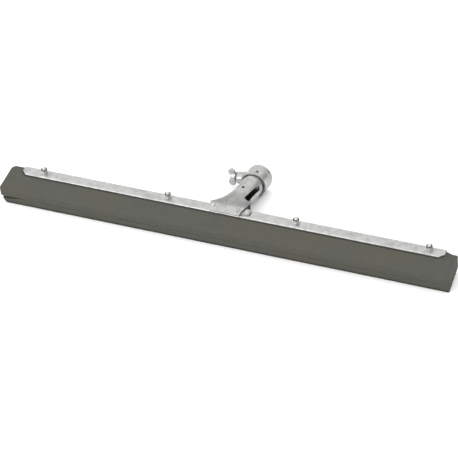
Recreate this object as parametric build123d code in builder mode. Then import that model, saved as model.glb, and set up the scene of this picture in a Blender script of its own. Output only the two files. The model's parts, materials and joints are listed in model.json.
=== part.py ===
"""Floor squeegee head: two foam rubber blades in pressed steel jaws, with a clamping handle socket.

The head lies as it rests on a floor: on the lower blade's lip and on the rim of the socket's sleeve.
X runs along the blades, Y from the lips towards the socket, Z up, and the floor is Z = 0.
Places on the head are given as (x, depth, height): depth from the jaws' front edge towards the socket,
height above the upper jaw. Places on the socket are measured from the centre of its mouth.
"""
import os
from math import asin, atan2, cos, degrees, hypot, radians, sin, sqrt, tan

from build123d import *

# Foam blades, millimetres
blade_length = 566.0
blade_thickness = 10.0
blade_reach = 32.0
blade_overhang = 16.5
blade_edge_round = 0.5
blade_corner_round = 2.0

# Pressed jaws
jaw_depth = 14.0
jaw_sheet = 1.5
jaw_edge_round = 0.9
lip_drop = 1.5
corner_cut = 6.0
lower_jaw_clearance = 0.2

# Clamp bolts, nuts and washers
bolt_count = 4
bolt_margin = 23.5
bolt_shift = 4.0
bolt_setback = 9.4
bolt_diameter = 4.0
bolt_hole_clearance = 0.25
bolt_end = 1.6
hex_width = 7.0
hex_chamfer_angle = 30.0
bolt_head_height = 2.8
nut_height = 4.4
washer_diameter = 8.6
washer_thickness = 1.0

# Neck: the upper half of the tube's end, spread into a flat tongue that lies on the upper jaw
neck_sheet = 1.6
neck_wall = 1.2
neck_length = 40.0
neck_drop = 18.3
neck_bend = 12.6
neck_shift = -2.0
neck_root_width = 45.0
neck_front_width = 37.0
neck_front_setback = 0.6
neck_front_slope = 4.5
neck_edge_share = 0.49
neck_front_edge = 0.8
neck_open_length = 20.0
neck_flange_height = 9.0
neck_flange_inset = 0.6
ear_reach = 28.0
ear_setback = 9.0
ear_depth = 10.0
ear_corner = 3.0
rib_count = 2
rib_pitch = 13.8
rib_shift = 5.6
rib_setback = 9.0
rib_length = 10.0
rib_width = 4.4
rib_height = 0.7
rib_slope = 55.0

# Socket tube
bore_diameter = 24.4
tube_wall = 1.5
tube_length = 54.0
slot_start = 34.0
slot_end = 76.0
slot_width = 6.2
slot_angle = 31.0
slot_skew = -5.0
nail_hole_depth = 55.0
nail_hole_angle = 90.0
nail_hole_diameter = 4.0

# Rivets
rivet_diameter = 4.0
rivet_head_diameter = 6.4
rivet_head_height = 2.0
rivet_tail_height = 1.2
tongue_rivet_place = -18.5
ear_rivet_place = 24.0
sleeve_rivet_depth = 17.0
sleeve_rivet_angle = 80.0
sleeve_rivet_diameter = 4.8
sleeve_rivet_hole = 3.4
sleeve_rivet_rise = 0.6

# Sleeve round the mouth
sleeve_length = 23.8
sleeve_wall = 2.3
skirt_length = 4.3
skirt_flare = 0.8
skirt_wall = 2.0
groove_place = 6.5
groove_width = 4.0
groove_sink = 0.6

# Clamping screw, measured outwards from the socket's axis
screw_depth = 9.0
screw_lift = -4.0
thread_pitch = 1.25
turns_in = 1.5
turns_out = 3.0
stud_diameter = 8.0
tip_diameter = 5.0
shaft_clearance = 0.05
boss_diameter = 15.0
boss_flare = 1.2
boss_height = 9.0
boss_edge = 0.8
pad_diameter = 9.0
pad_thickness = 2.6
pad_clearance = 0.3
pad_standoff = 0.2
pad_floor = 0.9
wing_gap = 0.3
hub_diameter = 13.0
hub_nose_diameter = 10.0
hub_length = 6.5
wing_rise = 5.6
wing_spread = 6.8
wing_radius = 4.8
wing_thickness = 3.6
wing_edge = 1.2

# Lengths along the head
jaw_length = blade_length - 2 * blade_overhang
bolt_pitch = (jaw_length - 2 * bolt_margin) / (bolt_count - 1)

# Heights on the head, counted from the top of the upper jaw
stack_height = 2 * blade_thickness
foam_top = -jaw_sheet
foam_bottom = foam_top - stack_height
jaw_bottom = foam_bottom - jaw_sheet
blade_rear = jaw_depth - jaw_sheet
tongue_height = 2 * neck_sheet
neck_root_depth = jaw_depth + jaw_sheet / 2

# Radii on the socket and along the clamping screw
bore_radius = bore_diameter / 2
tube_radius = bore_radius + tube_wall
sleeve_radius = tube_radius + sleeve_wall
travel_in = turns_in * thread_pitch
travel_out = turns_out * thread_pitch
pad_inner = bore_radius + pad_standoff
pad_outer = pad_inner + pad_thickness
counterbore_end = pad_outer + travel_out + pad_clearance
boss_end = sleeve_radius + boss_height
hub_start = boss_end + travel_in + wing_gap
hub_end = hub_start + hub_length
stud_end = hub_start + hub_length / 2

# Middle section of the head: where the tube starts and where its mouth is
bend_cos = cos(radians(neck_bend))
bend_sin = sin(radians(neck_bend))
tube_root = (jaw_depth + neck_length, -neck_drop)
mouth = (tube_root[0] + tube_length * bend_cos, tube_root[1] - tube_length * bend_sin)
rim_low = (mouth[0] - sleeve_radius * bend_sin, mouth[1] - sleeve_radius * bend_cos)
rim_high = (mouth[0] + sleeve_radius * bend_sin, mouth[1] + sleeve_radius * bend_cos)
lip_low = (-blade_reach + blade_edge_round, foam_bottom + blade_edge_round)
lip_high = (-blade_reach + blade_edge_round, foam_top - blade_edge_round)

# The floor touches the lower lip's rounding and the sleeve's rim, which sets how far the head is tilted
rest_run = rim_low[0] - lip_low[0]
rest_fall = rim_low[1] - lip_low[1]
rest_tilt = -atan2(rest_fall, rest_run) - asin(blade_edge_round / hypot(rest_run, rest_fall))
tilt_cos = cos(rest_tilt)
tilt_sin = sin(rest_tilt)
head_rise = blade_edge_round - lip_low[0] * tilt_sin - lip_low[1] * tilt_cos
front_reach = lip_high[0] * tilt_cos - lip_high[1] * tilt_sin - blade_edge_round
rear_reach = rim_high[0] * tilt_cos - rim_high[1] * tilt_sin
head_shift = -(front_reach + rear_reach) / 2

# Reference planes
head = Plane(origin=(0, head_shift, head_rise), x_dir=(1, 0, 0), z_dir=(0, -tilt_sin, tilt_cos))


def on_head(depth, height):
    """Point of the head's middle section."""
    return head.from_local_coords(Vector(0, depth, height))


def across_neck(depth, height, bend):
    """Plane square to the neck at a point of the middle section, facing away from the blades."""
    away = on_head(cos(radians(bend)), -sin(radians(bend))) - head.origin
    return Plane(origin=on_head(depth, height), x_dir=(1, 0, 0), z_dir=away)


head_upside_down = Plane(origin=on_head(0, jaw_bottom), x_dir=(-1, 0, 0), z_dir=-head.z_dir)
socket = Plane(origin=on_head(*mouth), x_dir=(1, 0, 0), z_dir=-across_neck(*mouth, neck_bend).z_dir)
socket_axis = Axis(socket.origin, socket.z_dir)
socket_profile = Plane(origin=socket.origin, x_dir=socket.z_dir, z_dir=socket.x_dir)


def round_socket(depth, angle):
    """Plane on the socket's axis that looks out through its wall, turned from the right side to the top."""
    out = Vector(cos(radians(angle)), sin(radians(angle)), 0)
    return Plane(
        origin=socket.from_local_coords(Vector(0, 0, depth)),
        x_dir=socket.z_dir,
        z_dir=socket.from_local_coords(out) - socket.origin,
    )


lift_cos = cos(radians(screw_lift))
lift_sin = sin(radians(screw_lift))
screw = Plane(
    origin=socket.from_local_coords(Vector(0, 0, screw_depth)),
    x_dir=socket.y_dir * lift_cos + socket.x_dir * lift_sin,
    z_dir=socket.y_dir * lift_sin - socket.x_dir * lift_cos,
)
screw_axis = Axis(screw.origin, screw.z_dir)
screw_profile = Plane(origin=screw.origin, x_dir=screw.x_dir, z_dir=-screw.y_dir)

# Places that repeat
first_bolt = bolt_shift - bolt_pitch * (bolt_count - 1) / 2
bolt_places = [(first_bolt + i * bolt_pitch, bolt_setback) for i in range(bolt_count)]
rivet_places = [(tongue_rivet_place, ear_setback), (ear_rivet_place, ear_setback)]
first_rib = rib_shift - rib_pitch * (rib_count - 1) / 2
rib_places = [(first_rib + i * rib_pitch, rib_setback) for i in range(rib_count)]


def jaw_outline(front, cut, depth):
    """Strip seen from above, with its two front corners cut off."""
    with Locations((0, front)):
        Rectangle(jaw_length, depth - front, align=(Align.CENTER, Align.MIN))
    chamfer(vertices().group_by(Axis.Y)[0], cut)


def pressed_strip(plane, depth):
    """Strip whose front edge and cut corners are turned in by the lip's drop."""
    with BuildSketch(plane) as outside:
        jaw_outline(0, corner_cut, depth)
    extrude(outside.sketch, amount=-(jaw_sheet + lip_drop))
    fillet(faces().sort_by(Axis(plane.origin, plane.z_dir))[-1].edges(), jaw_edge_round)
    with BuildSketch(plane.offset(-jaw_sheet)) as inside:
        jaw_outline(jaw_sheet, corner_cut + jaw_sheet * (sqrt(2) - 1), depth)
    extrude(inside.sketch, amount=-2 * lip_drop, mode=Mode.SUBTRACT)


def bolt_holes(plane, places, diameter, depth):
    """Round holes through a sheet or a blade, cut downwards from the plane."""
    with BuildSketch(plane) as holes:
        with Locations(*places):
            Circle(diameter / 2)
    extrude(holes.sketch, amount=-depth, mode=Mode.SUBTRACT)


# Jaws
with BuildPart() as upper_jaw:
    pressed_strip(head, jaw_depth)
    with BuildSketch(head.offset(-jaw_sheet)):
        with Locations((0, jaw_depth)):
            Rectangle(jaw_length, jaw_sheet, align=(Align.CENTER, Align.MAX))
    extrude(amount=jaw_bottom + jaw_sheet)
    bolt_holes(head, bolt_places, bolt_diameter + 2 * bolt_hole_clearance, jaw_sheet)
    bolt_holes(head, rivet_places, rivet_diameter, jaw_sheet)

with BuildPart() as lower_jaw:
    pressed_strip(head_upside_down, blade_rear - lower_jaw_clearance)
    lower_places = [(-x, y) for x, y in bolt_places]
    bolt_holes(head_upside_down, lower_places, bolt_diameter + 2 * bolt_hole_clearance, jaw_sheet)

# Bolts, nuts and washers
hex_flat = hex_width / 2
hex_corner = hex_width / sqrt(3)
hex_chamfer = (hex_corner - hex_flat) * tan(radians(hex_chamfer_angle))


def hexagon(height):
    """Hexagon with a turned chamfer at each end."""
    with BuildSketch(Plane.XZ) as turned:
        with BuildLine():
            Polyline(
                (0, 0),
                (hex_flat, 0),
                (hex_corner, hex_chamfer),
                (hex_corner, height - hex_chamfer),
                (hex_flat, height),
                (0, height),
                close=True,
            )
        make_face()
    revolve(turned.sketch, axis=Axis.Z)
    with BuildSketch() as outline:
        RegularPolygon(hex_flat, 6, major_radius=False)
    extrude(outline.sketch, amount=height, mode=Mode.INTERSECT)


with BuildPart() as bolt:
    hexagon(bolt_head_height)
    with BuildSketch(Plane.XY):
        Circle(bolt_diameter / 2)
    extrude(amount=jaw_bottom - 2 * washer_thickness - nut_height - bolt_end)

with BuildPart() as nut:
    hexagon(nut_height)
    with BuildSketch(Plane.XY):
        Circle(bolt_diameter / 2)
    extrude(amount=nut_height, mode=Mode.SUBTRACT)

with BuildPart(head_upside_down.offset(washer_thickness)) as clamp_bolts:
    with Locations(*lower_places):
        add(bolt.part)

with BuildPart(head.offset(washer_thickness)) as clamp_nuts:
    with Locations(*bolt_places):
        add(nut.part)


def washers(plane):
    """One flat washer at each bolt, resting on the plane."""
    with BuildSketch(plane) as rings:
        with Locations(*bolt_places):
            Circle(washer_diameter / 2)
            Circle(bolt_diameter / 2, mode=Mode.SUBTRACT)
    extrude(rings.sketch, amount=washer_thickness)


with BuildPart() as nut_washers:
    washers(head)

with BuildPart() as head_washers:
    washers(head.offset(jaw_bottom - washer_thickness))


# Rivets through the neck's tongue and ear
def rivet(grip):
    """Round-head rivet standing on its seat, with its tail spread under the sheets that it grips."""
    head_radius = rivet_head_diameter / 2
    shank = rivet_diameter / 2
    with BuildSketch(Plane.XZ) as half:
        with BuildLine():
            Polyline(
                (head_radius, 0),
                (shank, 0),
                (shank, -grip),
                (head_radius, -grip),
                (head_radius, -grip - rivet_tail_height),
                (0, -grip - rivet_tail_height),
                (0, rivet_head_height),
            )
            RadiusArc((0, rivet_head_height), (head_radius, 0), head_radius)
        make_face()
    revolve(half.sketch, axis=Axis.Z)


with BuildPart() as tongue_rivet:
    rivet(tongue_height + jaw_sheet)

with BuildPart() as ear_rivet:
    rivet(neck_sheet + jaw_sheet)

with BuildPart(head) as neck_rivets:
    with Locations((tongue_rivet_place, ear_setback, tongue_height)):
        add(tongue_rivet.part)
    with Locations((ear_rivet_place, ear_setback, neck_sheet)):
        add(ear_rivet.part)


def foam_blade(top):
    """Foam strip with rounded edges and corners at its lip, pierced by the bolts."""
    with BuildSketch(head.offset(top)) as strip:
        with Locations((0, -blade_reach)):
            Rectangle(blade_length, blade_reach + blade_rear, align=(Align.CENTER, Align.MIN))
        fillet(vertices().group_by(Axis.Y)[0], blade_corner_round)
    extrude(strip.sketch, amount=-blade_thickness)
    lip_face = faces().sort_by(Axis(head.origin, head.y_dir))[0]
    long_edges = lip_face.edges().filter_by(Axis.X)
    fillet(long_edges, blade_edge_round)
    bolt_holes(head.offset(top), bolt_places, bolt_diameter, blade_thickness)


# Foam blades, which take the print of the jaws' lips and of the rivets' tails
with BuildPart() as upper_blade:
    foam_blade(foam_top)
    add(upper_jaw.part, mode=Mode.SUBTRACT)
    add(neck_rivets.part, mode=Mode.SUBTRACT)

with BuildPart() as lower_blade:
    foam_blade(foam_top - blade_thickness)
    add(lower_jaw.part, mode=Mode.SUBTRACT)

# Neck and socket tube
neck_root_plane = across_neck(neck_root_depth, tongue_height / 2, 0)
tube_root_plane = across_neck(*tube_root, neck_bend)
open_share = (jaw_depth + neck_open_length - neck_root_depth) / (tube_root[0] - neck_root_depth)
open_end = (jaw_depth + neck_open_length, tube_root[1] * open_share)


def crease(side, depth, inset):
    """Place, to the left or right, of the fold between the neck's top and its side."""
    share = (depth - neck_root_depth) / (tube_root[0] - neck_root_depth)
    edge = (neck_shift + side * neck_root_width / 2) * (1 - share) + side * tube_radius * share
    return (edge - side * inset, depth)


def neck_form(root_inset, end_inset, root_plane, root_height):
    """Tube end that is flattened along straight lines, from the round tube to a flat tongue."""
    with BuildSketch(root_plane) as root:
        with Locations((neck_shift, 0)):
            RectangleRounded(neck_root_width - 2 * root_inset, root_height, root_height * neck_edge_share)
    with BuildSketch(tube_root_plane) as end:
        Circle(tube_radius - end_inset)
    loft([root.sketch, end.sketch], ruled=True)


def tube_form(radius, mode):
    """Round tube from the neck to the socket's mouth."""
    with BuildSketch(socket) as ring:
        Circle(radius)
    extrude(ring.sketch, amount=tube_length, mode=mode)


neck_side = Plane(origin=on_head(0, 0), x_dir=head.y_dir, z_dir=head.x_dir)
flange_start = jaw_depth + neck_sheet
flange_end = open_end[0] + neck_sheet

with BuildPart() as neck_flanges:
    with BuildSketch(head):
        for side in (-1, 1):
            with BuildLine():
                Polyline(
                    crease(side, flange_start, neck_flange_inset),
                    crease(side, flange_end, neck_flange_inset),
                    crease(side, flange_end, neck_flange_inset + neck_sheet),
                    crease(side, flange_start, neck_flange_inset + neck_sheet),
                    close=True,
                )
            make_face()
    extrude(amount=-2 * tube_radius)
    with BuildSketch(neck_side):
        with BuildLine():
            Polyline(
                (jaw_depth, neck_sheet / 2),
                (flange_end, open_end[1] + neck_sheet / 2),
                (flange_end, open_end[1] - neck_flange_height),
                (jaw_depth, -neck_flange_height),
                close=True,
            )
        make_face()
    extrude(amount=neck_root_width, both=True, mode=Mode.INTERSECT)

with BuildPart() as neck_hollow:
    neck_form(neck_sheet, neck_wall, neck_root_plane.offset(2 * neck_sheet), tongue_height / 4)

with BuildPart() as socket_shell:
    neck_form(0, 0, neck_root_plane, tongue_height)
    tube_form(tube_radius, Mode.ADD)
    with BuildSketch(head):
        with BuildLine():
            Polyline(
                (neck_shift - neck_front_width / 2, neck_front_setback),
                (neck_shift + neck_front_width / 2, neck_front_setback),
                (neck_shift + neck_root_width / 2, neck_root_depth),
                (neck_shift - neck_root_width / 2, neck_root_depth),
                close=True,
            )
        make_face()
    extrude(amount=tongue_height)
    front_face = faces().sort_by(Axis(head.origin, head.y_dir))[0]
    front_edge = front_face.edges().sort_by(Axis(head.origin, head.z_dir))[-1]
    chamfer(front_edge, tongue_height - neck_front_edge, neck_front_slope, reference=front_face)
    with BuildSketch(head):
        with Locations((ear_reach / 2, ear_setback)):
            RectangleRounded(ear_reach, ear_depth, ear_corner)
    extrude(amount=neck_sheet)
    with BuildSketch(head.offset(tongue_height)):
        with Locations(*rib_places):
            SlotOverall(rib_length, rib_width, rotation=90)
    extrude(amount=rib_height, taper=rib_slope)
    add(neck_hollow.part, mode=Mode.SUBTRACT)
    tube_form(bore_radius, Mode.SUBTRACT)
    with BuildSketch(round_socket((slot_start + slot_end) / 2, slot_angle)):
        SlotOverall(slot_end - slot_start, slot_width, rotation=slot_skew)
    extrude(amount=2 * tube_radius, mode=Mode.SUBTRACT)
    with BuildSketch(round_socket(nail_hole_depth, nail_hole_angle)):
        Circle(nail_hole_diameter / 2)
    extrude(amount=2 * tube_radius, mode=Mode.SUBTRACT)
    with BuildSketch(round_socket(sleeve_rivet_depth, sleeve_rivet_angle)):
        Circle(sleeve_rivet_diameter / 2)
    extrude(amount=2 * tube_radius, mode=Mode.SUBTRACT)
    with BuildSketch(screw):
        Circle(pad_diameter / 2 + pad_clearance)
    extrude(amount=2 * tube_radius, mode=Mode.SUBTRACT)
    bolt_holes(head.offset(tongue_height), rivet_places, rivet_diameter, tongue_height)
    with BuildSketch(neck_side):
        with BuildLine():
            Polyline(
                (jaw_depth, 0),
                open_end,
                (open_end[0], open_end[1] - 2 * tube_radius),
                (jaw_depth, open_end[1] - 2 * tube_radius),
                close=True,
            )
        make_face()
    extrude(amount=neck_root_width, both=True, mode=Mode.SUBTRACT)
    add(neck_flanges.part)

# Sleeve with a rolled groove and a flared skirt
with BuildPart() as sleeve:
    with BuildSketch(socket_profile):
        with BuildLine():
            Polyline(
                (0, tube_radius),
                (0, sleeve_radius),
                (sleeve_length - skirt_length, sleeve_radius),
                (sleeve_length, tube_radius + skirt_flare + skirt_wall),
                (sleeve_length, tube_radius + skirt_flare),
                (sleeve_length - skirt_length, tube_radius),
                close=True,
            )
        make_face()
    revolve(axis=socket_axis)
    with BuildSketch(socket_profile):
        with BuildLine():
            ThreePointArc(
                (groove_place, sleeve_radius),
                (groove_place + groove_width / 2, sleeve_radius - groove_sink),
                (groove_place + groove_width, sleeve_radius),
            )
            Line((groove_place + groove_width, sleeve_radius), (groove_place, sleeve_radius))
        make_face()
    revolve(axis=socket_axis, mode=Mode.SUBTRACT)
    with BuildSketch(round_socket(sleeve_rivet_depth, sleeve_rivet_angle)):
        Circle(sleeve_rivet_diameter / 2)
    extrude(amount=2 * sleeve_radius, mode=Mode.SUBTRACT)
    with BuildSketch(screw):
        Circle(pad_diameter / 2 + pad_clearance)
    extrude(amount=2 * sleeve_radius, mode=Mode.SUBTRACT)

with BuildPart() as sleeve_rivet:
    with BuildSketch(round_socket(sleeve_rivet_depth, sleeve_rivet_angle).offset(bore_radius)):
        Circle(sleeve_rivet_diameter / 2)
        Circle(sleeve_rivet_hole / 2, mode=Mode.SUBTRACT)
    extrude(amount=sleeve_radius - bore_radius + sleeve_rivet_rise)

# Tapped boss on the sleeve's side
with BuildPart() as screw_boss:
    with BuildSketch(screw_profile):
        with BuildLine():
            Polyline(
                (0, 0),
                (boss_diameter / 2 + boss_flare, 0),
                (boss_diameter / 2 + boss_flare, sleeve_radius),
                (boss_diameter / 2, sleeve_radius + boss_flare),
                (boss_diameter / 2, boss_end - boss_edge),
                (boss_diameter / 2 - boss_edge, boss_end),
                (0, boss_end),
                close=True,
            )
        make_face()
    revolve(axis=screw_axis)
    with BuildSketch(socket.offset(-sleeve_length)):
        Circle(sleeve_radius)
    extrude(amount=3 * sleeve_length, mode=Mode.SUBTRACT)
    add(sleeve.part, mode=Mode.SUBTRACT)
    with BuildSketch(screw):
        Circle(pad_diameter / 2 + pad_clearance)
    extrude(amount=counterbore_end, mode=Mode.SUBTRACT)
    with BuildSketch(screw):
        Circle(stud_diameter / 2 + shaft_clearance)
    extrude(amount=boss_end, mode=Mode.SUBTRACT)

# Pressure pad on the stud's tip
with BuildPart() as pressure_pad:
    with BuildSketch(screw.offset(pad_inner)):
        Circle(pad_diameter / 2)
    extrude(amount=pad_thickness)
    with BuildSketch(screw.offset(pad_inner + pad_floor)):
        Circle(tip_diameter / 2 + shaft_clearance)
    extrude(amount=pad_thickness, mode=Mode.SUBTRACT)

# Clamping screw: threaded stud and cast wings
with BuildPart() as screw_stud:
    with BuildSketch(screw.offset(pad_inner + pad_floor + pad_clearance)):
        Circle(tip_diameter / 2)
    extrude(amount=counterbore_end - pad_inner - pad_floor - pad_clearance)
    with BuildSketch(screw.offset(counterbore_end)):
        Circle(stud_diameter / 2)
    extrude(amount=stud_end - counterbore_end)

with BuildPart() as wing_head:
    with BuildSketch(screw_profile):
        with Locations((-wing_spread, hub_start + wing_rise), (wing_spread, hub_start + wing_rise)):
            Circle(wing_radius)
        with Locations((0, hub_start + wing_rise)):
            Rectangle(2 * wing_spread, wing_radius)
    extrude(amount=wing_thickness / 2, both=True)
    chamfer(edges().filter_by(GeomType.CIRCLE), wing_edge)
    with BuildSketch(screw_profile):
        with BuildLine():
            Polyline(
                (0, hub_start),
                (hub_diameter / 2, hub_start),
                (hub_nose_diameter / 2, hub_end),
                (0, hub_end),
                close=True,
            )
        make_face()
    revolve(axis=screw_axis)
    with BuildSketch(screw.offset(hub_start)):
        Circle(stud_diameter / 2)
    extrude(amount=stud_end - hub_start, mode=Mode.SUBTRACT)

# One file for each piece
pieces = {
    "upper_jaw": upper_jaw,
    "lower_jaw": lower_jaw,
    "upper_blade": upper_blade,
    "lower_blade": lower_blade,
    "clamp_bolts": clamp_bolts,
    "clamp_nuts": clamp_nuts,
    "nut_washers": nut_washers,
    "head_washers": head_washers,
    "neck_rivets": neck_rivets,
    "socket": socket_shell,
    "sleeve": sleeve,
    "sleeve_rivet": sleeve_rivet,
    "screw_boss": screw_boss,
    "pressure_pad": pressure_pad,
    "screw_stud": screw_stud,
    "wing_head": wing_head,
}
os.makedirs("parts", exist_ok=True)
for name, piece in pieces.items():
    piece.part.label = name
    export_step(piece.part, f"parts/{name}.step")
print(f"rest tilt {degrees(rest_tilt):.2f} degrees, head at y {head_shift:.3f} z {head_rise:.3f}")
print(f"socket mouth {tuple(socket.origin)}, axis out {tuple(-socket.z_dir)}")
print(f"screw crosses the socket's axis at {tuple(screw.origin)}")
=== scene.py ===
"""Looks of a floor squeegee head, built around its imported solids.

Foam rubber blades, galvanised pressings and plated hardware, on a plain stage.
"""

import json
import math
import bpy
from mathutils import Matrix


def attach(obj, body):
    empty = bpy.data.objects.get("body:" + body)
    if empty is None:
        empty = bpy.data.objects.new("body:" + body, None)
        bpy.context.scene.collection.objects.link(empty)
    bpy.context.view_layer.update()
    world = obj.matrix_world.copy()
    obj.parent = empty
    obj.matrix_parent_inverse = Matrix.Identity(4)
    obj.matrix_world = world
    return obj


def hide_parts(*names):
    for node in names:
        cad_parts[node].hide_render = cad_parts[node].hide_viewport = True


bl_info = {
    "name": "Floor Squeegee Head",
    "version": (1, 0, 0),
    "blender": (4, 5, 0),
    "location": "3D View > Sidebar > Squeegee",
    "description": "Foam rubber, galvanised sheet and plated hardware for a floor squeegee head",
    "category": "Object",
}

import bmesh
import bpy
from mathutils import Matrix, Vector, noise

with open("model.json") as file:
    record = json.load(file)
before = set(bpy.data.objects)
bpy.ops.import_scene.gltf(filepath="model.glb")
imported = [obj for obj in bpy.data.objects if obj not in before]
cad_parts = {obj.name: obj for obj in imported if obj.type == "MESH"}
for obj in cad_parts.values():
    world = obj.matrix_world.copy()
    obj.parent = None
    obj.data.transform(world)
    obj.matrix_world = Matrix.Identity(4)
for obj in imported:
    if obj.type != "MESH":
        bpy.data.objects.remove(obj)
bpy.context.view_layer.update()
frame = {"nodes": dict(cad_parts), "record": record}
MOUNT = frame["record"]["mounts"][0]

# Faces of the upper jaw that look up and don't lean along its length
LOOKS_UP = 0.5
LEANS_ALONG = 0.01


def head_matrix():
    """Matrix from places (x, depth, height) on the head to the shared frame.

    It is read from the flat top of the upper jaw.
    """
    mesh = frame["nodes"]["upper_jaw"].data
    areas = {}
    for face in mesh.polygons:
        if face.normal.z > LOOKS_UP and abs(face.normal.x) < LEANS_ALONG:
            key = round(face.normal.y, 3)
            total, _ = areas.get(key, (0.0, None))
            areas[key] = (total + face.area, face.normal.copy())
    up = max(areas.values(), key=lambda item: item[0])[1].normalized()
    deep = Vector((0, up.z, -up.y))
    top = max(v.co.dot(up) for v in mesh.vertices)
    front = min(v.co.dot(deep) for v in mesh.vertices)
    place = up * top + deep * front
    place.x = 0
    turn = Matrix((Vector((1, 0, 0)), deep, up)).transposed()
    return Matrix.Translation(place) @ turn.to_4x4()


HEAD = head_matrix()
TO_HEAD = HEAD.inverted()


def head_box(node):
    """Lowest and highest corner of a node, measured along the head."""
    places = [TO_HEAD @ v.co for v in frame["nodes"][node].data.vertices]
    low = Vector([min(p[i] for p in places) for i in range(3)])
    return low, Vector([max(p[i] for p in places) for i in range(3)])


# Sizes and colours


class FoamSettings(bpy.types.PropertyGroup):
    """Foam rubber blades."""

    colour: bpy.props.FloatVectorProperty(
        name="Foam colour", description="Colour of the cut foam", subtype="COLOR", size=3, min=0,
        max=1, default=(0.0635, 0.0648, 0.0556),
    )
    stain_colour: bpy.props.FloatVectorProperty(
        name="Stain colour", description="Colour of the brownish patches on the foam",
        subtype="COLOR", size=3, min=0, max=1, default=(0.067, 0.0636, 0.049),
    )
    # Painted shade: the foam near the floor is painted darker in this colour, up to the height
    # below, as a contact shadow
    bottom_shade_colour: bpy.props.FloatVectorProperty(
        name="Bottom shade colour", description="Colour of the wet, dirty edge that runs along the floor",
        subtype="COLOR", size=3, min=0, max=1, default=(0.03, 0.03, 0.026),
    )
    bottom_shade_height: bpy.props.FloatProperty(
        name="Bottom shade height", description="How far the wet edge reaches up from the floor",
        default=0.004, unit="LENGTH",
    )
    edge_round: bpy.props.FloatProperty(
        name="Outer edges", description="Rounding of the lips' outer edges", default=0.0005,
        unit="LENGTH",
    )
    inner_round: bpy.props.FloatProperty(
        name="Inner edges", description="Rounding of the edges where the two lips meet",
        default=0.00012, unit="LENGTH",
    )
    left_round: bpy.props.FloatProperty(
        name="Left corners", description="Rounding of the lips' worn left corners", default=0.0042,
        unit="LENGTH",
    )
    right_round: bpy.props.FloatProperty(
        name="Right corners", description="Rounding of the lips' right corners", default=0.0012,
        unit="LENGTH",
    )
    rear_round: bpy.props.FloatProperty(
        name="Rear corner", description="Rounding of the rear corner at the left end",
        default=0.006, unit="LENGTH",
    )
    left_skew: bpy.props.FloatProperty(
        name="Left skew",
        description="How much shorter both lips are than their rear edge at the left end",
        default=0.0016, unit="LENGTH",
    )
    right_skew: bpy.props.FloatProperty(
        name="Right skew",
        description="How much shorter the rear edge is than both lips at the right end",
        default=0.0034, unit="LENGTH",
    )
    left_wear: bpy.props.FloatVectorProperty(
        name="Left wear",
        description="How much shorter the lower lip is at the left end, at its top and bottom",
        size=2, default=(0.0024, 0.0052), unit="LENGTH",
    )
    jaw_lip: bpy.props.FloatProperty(
        name="Jaw lip", description="How far the jaws' turned edges press into the foam",
        default=0.0015, unit="LENGTH",
    )
    jaw_sheet: bpy.props.FloatProperty(
        name="Jaw sheet", description="Thickness of the jaws' sheet", default=0.0015, unit="LENGTH",
    )
    jaw_cut: bpy.props.FloatProperty(
        name="Jaw corner cut", description="Size of the jaws' cut corners", default=0.006,
        unit="LENGTH",
    )
    parting: bpy.props.FloatProperty(
        name="Parting",
        description="How far the lower lip is worn away from the upper one at the left end",
        default=0.0046, unit="LENGTH",
    )
    parted_length: bpy.props.FloatProperty(
        name="Parted length", description="How far the lips stand apart from the left end",
        default=0.036, unit="LENGTH",
    )
    droop: bpy.props.FloatProperty(
        name="Corner droop", description="How far the rear corner sinks at the right end",
        default=0.003, unit="LENGTH",
    )
    waviness: bpy.props.FloatProperty(
        name="Waviness", description="Unevenness of the cut faces", default=0.0003, unit="LENGTH",
    )


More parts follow.
